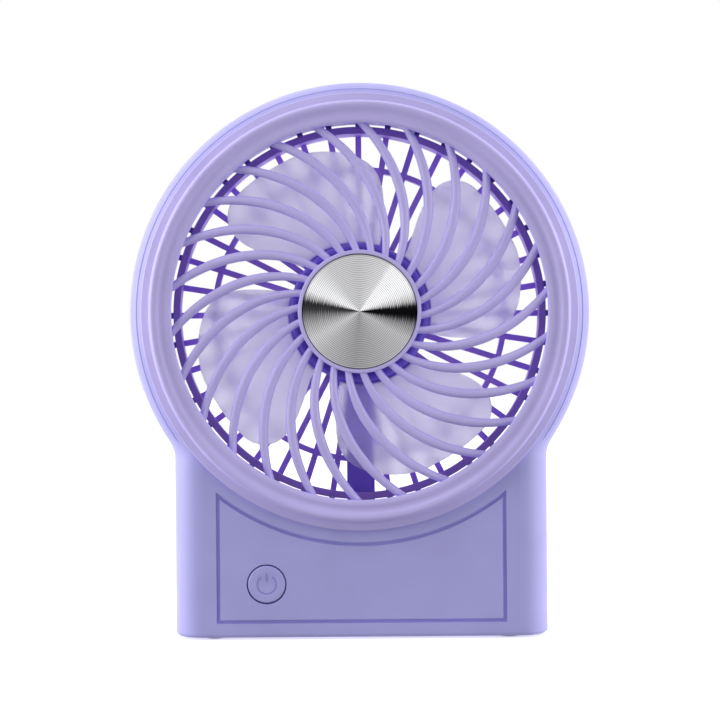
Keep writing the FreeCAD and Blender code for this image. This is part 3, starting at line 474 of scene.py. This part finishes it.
def spun_steel():
    """Painted reflection of dark and bright sectors round a lathe-turned disc, broken up by each
    groove's own edge, under painted groove shade.
    """
    material, tree, shader = start_material("spun_steel")
    where = tree.nodes.new("ShaderNodeUVMap")
    where.uv_map = "round"
    split = tree.nodes.new("ShaderNodeSeparateXYZ")
    tree.links.new(where.outputs["UV"], split.inputs["Vector"])
    ragged = tree.nodes.new("ShaderNodeTexNoise")
    ragged.noise_dimensions = "1D"
    ragged.inputs["Scale"].default_value = 2.0 * GROOVES
    tree.links.new(split.outputs["Y"], ragged.inputs["W"])
    shift = graded(tree, ragged.outputs["Fac"], 0.3, 0.7, -RAGGED_EDGE, RAGGED_EDGE)
    turn = maths(tree, "FRACT", maths(tree, "ADD", split.outputs["X"], shift))
    # painted groove shade: a sine wave darkens one fine ring for each groove
    wave = maths(tree, "SINE", maths(tree, "MULTIPLY", split.outputs["Y"], math.tau * GROOVES))
    light = graded(tree, wave, -1.0, 1.0, GROOVE_SHADE, 1.0)
    tone = tree.nodes.new("ShaderNodeMix")
    tone.data_type = "RGBA"
    tone.blend_type = "MULTIPLY"
    tone.inputs["Factor"].default_value = 1.0
    tree.links.new(painted_reflection_greys(tree, turn), tone.inputs["A"])
    tree.links.new(light, tone.inputs["B"])
    tree.links.new(tone.outputs["Result"], shader.inputs["Base Color"])
    shader.inputs["Metallic"].default_value = 1.0
    shader.inputs["Roughness"].default_value = 0.38
    return material


badge_mesh = spun(turned_profile(), BADGE_STEPS)
angle_map(badge_mesh)
badge = make_piece("spun_badge", badge_mesh, spun_steel(), "housing", smooth_below=60.0)
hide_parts("front_badge")
print("badge grooves:", GROOVES, "faces:", len(badge.data.polygons))

# %% [markdown]
# The button carries a plain power sign: an open ring and a short bar. It stands a little proud of
# the dished cap, as a mark cut into the mould would leave it. The ring is one small square, spun
# most of the way round, and the bar is a scaled cube; a fine bevel lets both catch the light.

# %% Power sign
button_low, button_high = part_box("power_button")
BUTTON_X = (button_low.x + button_high.x) / 2
BUTTON_Z = (button_low.z + button_high.z) / 2
SIGN_RADIUS = 2.7 * MM
SIGN_LINE = 0.42 * MM
SIGN_FRONT = button_low.y + 0.08 * MM
SIGN_BACK = SIGN_FRONT + 0.4 * MM
SIGN_EDGE = 0.04 * MM
SIGN_OPENING = math.radians(35)
SIGN_STEPS = 40
BAR_LENGTH = SIGN_RADIUS * 0.95
BAR_RISE = SIGN_RADIUS * 0.8


def power_sign():
    bm = bmesh.new()
    middle = (BUTTON_X, 0, BUTTON_Z)
    corners = [(SIGN_RADIUS, SIGN_FRONT), (SIGN_RADIUS + SIGN_LINE, SIGN_FRONT),
               (SIGN_RADIUS + SIGN_LINE, SIGN_BACK), (SIGN_RADIUS, SIGN_BACK)]
    section = [bm.verts.new((BUTTON_X, y, BUTTON_Z + radius)) for radius, y in corners]
    face = bm.faces.new(section)
    bmesh.ops.rotate(bm, verts=section, cent=middle, matrix=Matrix.Rotation(SIGN_OPENING, 3, "Y"))
    bmesh.ops.spin(bm, geom=[face] + list(face.edges) + section, cent=middle, axis=(0, 1, 0),
                   angle=math.tau - 2 * SIGN_OPENING, steps=SIGN_STEPS)
    bar = bmesh.ops.create_cube(bm, size=1.0)["verts"]
    bmesh.ops.scale(bm, verts=bar, vec=(SIGN_LINE, SIGN_BACK - SIGN_FRONT, BAR_LENGTH))
    bmesh.ops.translate(bm, verts=bar, vec=(BUTTON_X, (SIGN_FRONT + SIGN_BACK) / 2,
                                            BUTTON_Z + BAR_RISE))
    bmesh.ops.recalc_face_normals(bm, faces=bm.faces)
    sharp = [edge for edge in bm.edges if edge.calc_face_angle(0) > 1.0]
    bmesh.ops.bevel(bm, geom=sharp, offset=SIGN_EDGE, segments=2, profile=0.5, affect="EDGES",
                    material=-1)
    return bm


# the sign is the button's own plastic; its darker lilac is painted shade, the shade that the cut mark
# shows
sign_painted_shade = moulded("sign_lilac_painted_shade", linear(150, 140, 216), gloss=0.4)
sign = make_piece("power_sign", power_sign(), sign_painted_shade, "button")
print("power sign faces:", len(sign.data.polygons))

# %% [markdown]
# Screws, motor and contacts are mostly out of sight, but each metal still gets a finish of its own,
# since the fan is looked at from behind and from below as well. One function builds them all: a
# faint cloud in the colour, another in the gloss, and a fine grain.

# %% Metals
METAL_CLOUD = 120.0
METAL_GLOSS_CLOUD = 500.0
METAL_GRAIN = 0.006 * MM


def metal(name, colour, gloss, scale=900.0):
    """A bright surface with a faint cloud in its colour and its gloss."""
    material, tree, shader = start_material(name)
    cloud = spread(tree, noise(tree, METAL_CLOUD), 0.0, 1.0)
    tree.links.new(two_tone(tree, cloud, shade_of(colour, 0.88), colour), shader.inputs["Base Color"])
    roughness = spread(tree, noise(tree, METAL_GLOSS_CLOUD), gloss, gloss + 0.15)
    tree.links.new(roughness, shader.inputs["Roughness"])
    shader.inputs["Metallic"].default_value = 1.0
    grain(tree, shader, scale, METAL_GRAIN)
    return material


dress(metal("zinc_plate", linear(205, 205, 212), 0.22), "housing_screws", "grille_screws",
      "retainer_screws", "board_screws", "motor_terminals", "battery_contacts")
dress(metal("plain_steel", linear(178, 178, 182), 0.3), "motor_can", "motor_shaft", "motor_retainer",
      "rotor_core", "charge_socket")
dress(metal("sintered_bronze", linear(176, 132, 78), 0.45, 2500.0), "front_bushing", "rear_bushing")
dress(metal("copper", linear(201, 118, 74), 0.28), "rotor_windings", "commutator", "motor_brushes")
dress(metal("ferrite", linear(62, 62, 66), 0.6), "motor_magnets")
print("metals done")

# %% [markdown]
# The other plastics, the wires and the rubber use the moulded finish again, with their own colours
# and gloss. The last lines ask every piece for its finish, so that none is left bare.

# %% Other plastics and rubber
dress(moulded("black_plastic", linear(34, 34, 38), gloss=0.4), "battery_holder", "tact_switch",
      "switch_plunger")
dress(moulded("white_plastic", linear(226, 226, 228), gloss=0.4), "motor_end_cap")
dress(moulded("board_green", linear(28, 96, 62), gloss=0.25, drift=0.12), "main_board", "charge_board")
dress(moulded("wire_red", linear(176, 34, 30), gloss=0.3), "motor_wires", "battery_wires")
dress(moulded("cell_wrap", linear(40, 92, 170), gloss=0.2), "battery_cell")
dress(moulded("soft_rubber", linear(150, 142, 178), gloss=0.75, depth=SOFT_GRAIN), "rubber_feet")
dress(moulded("lamp_plastic", linear(235, 235, 240), gloss=0.15), "charge_lamp")
bare = [name for name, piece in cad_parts.items()
        if not piece.material_slots or not piece.material_slots[0].material.use_nodes]
print("pieces with no finish:", bare)
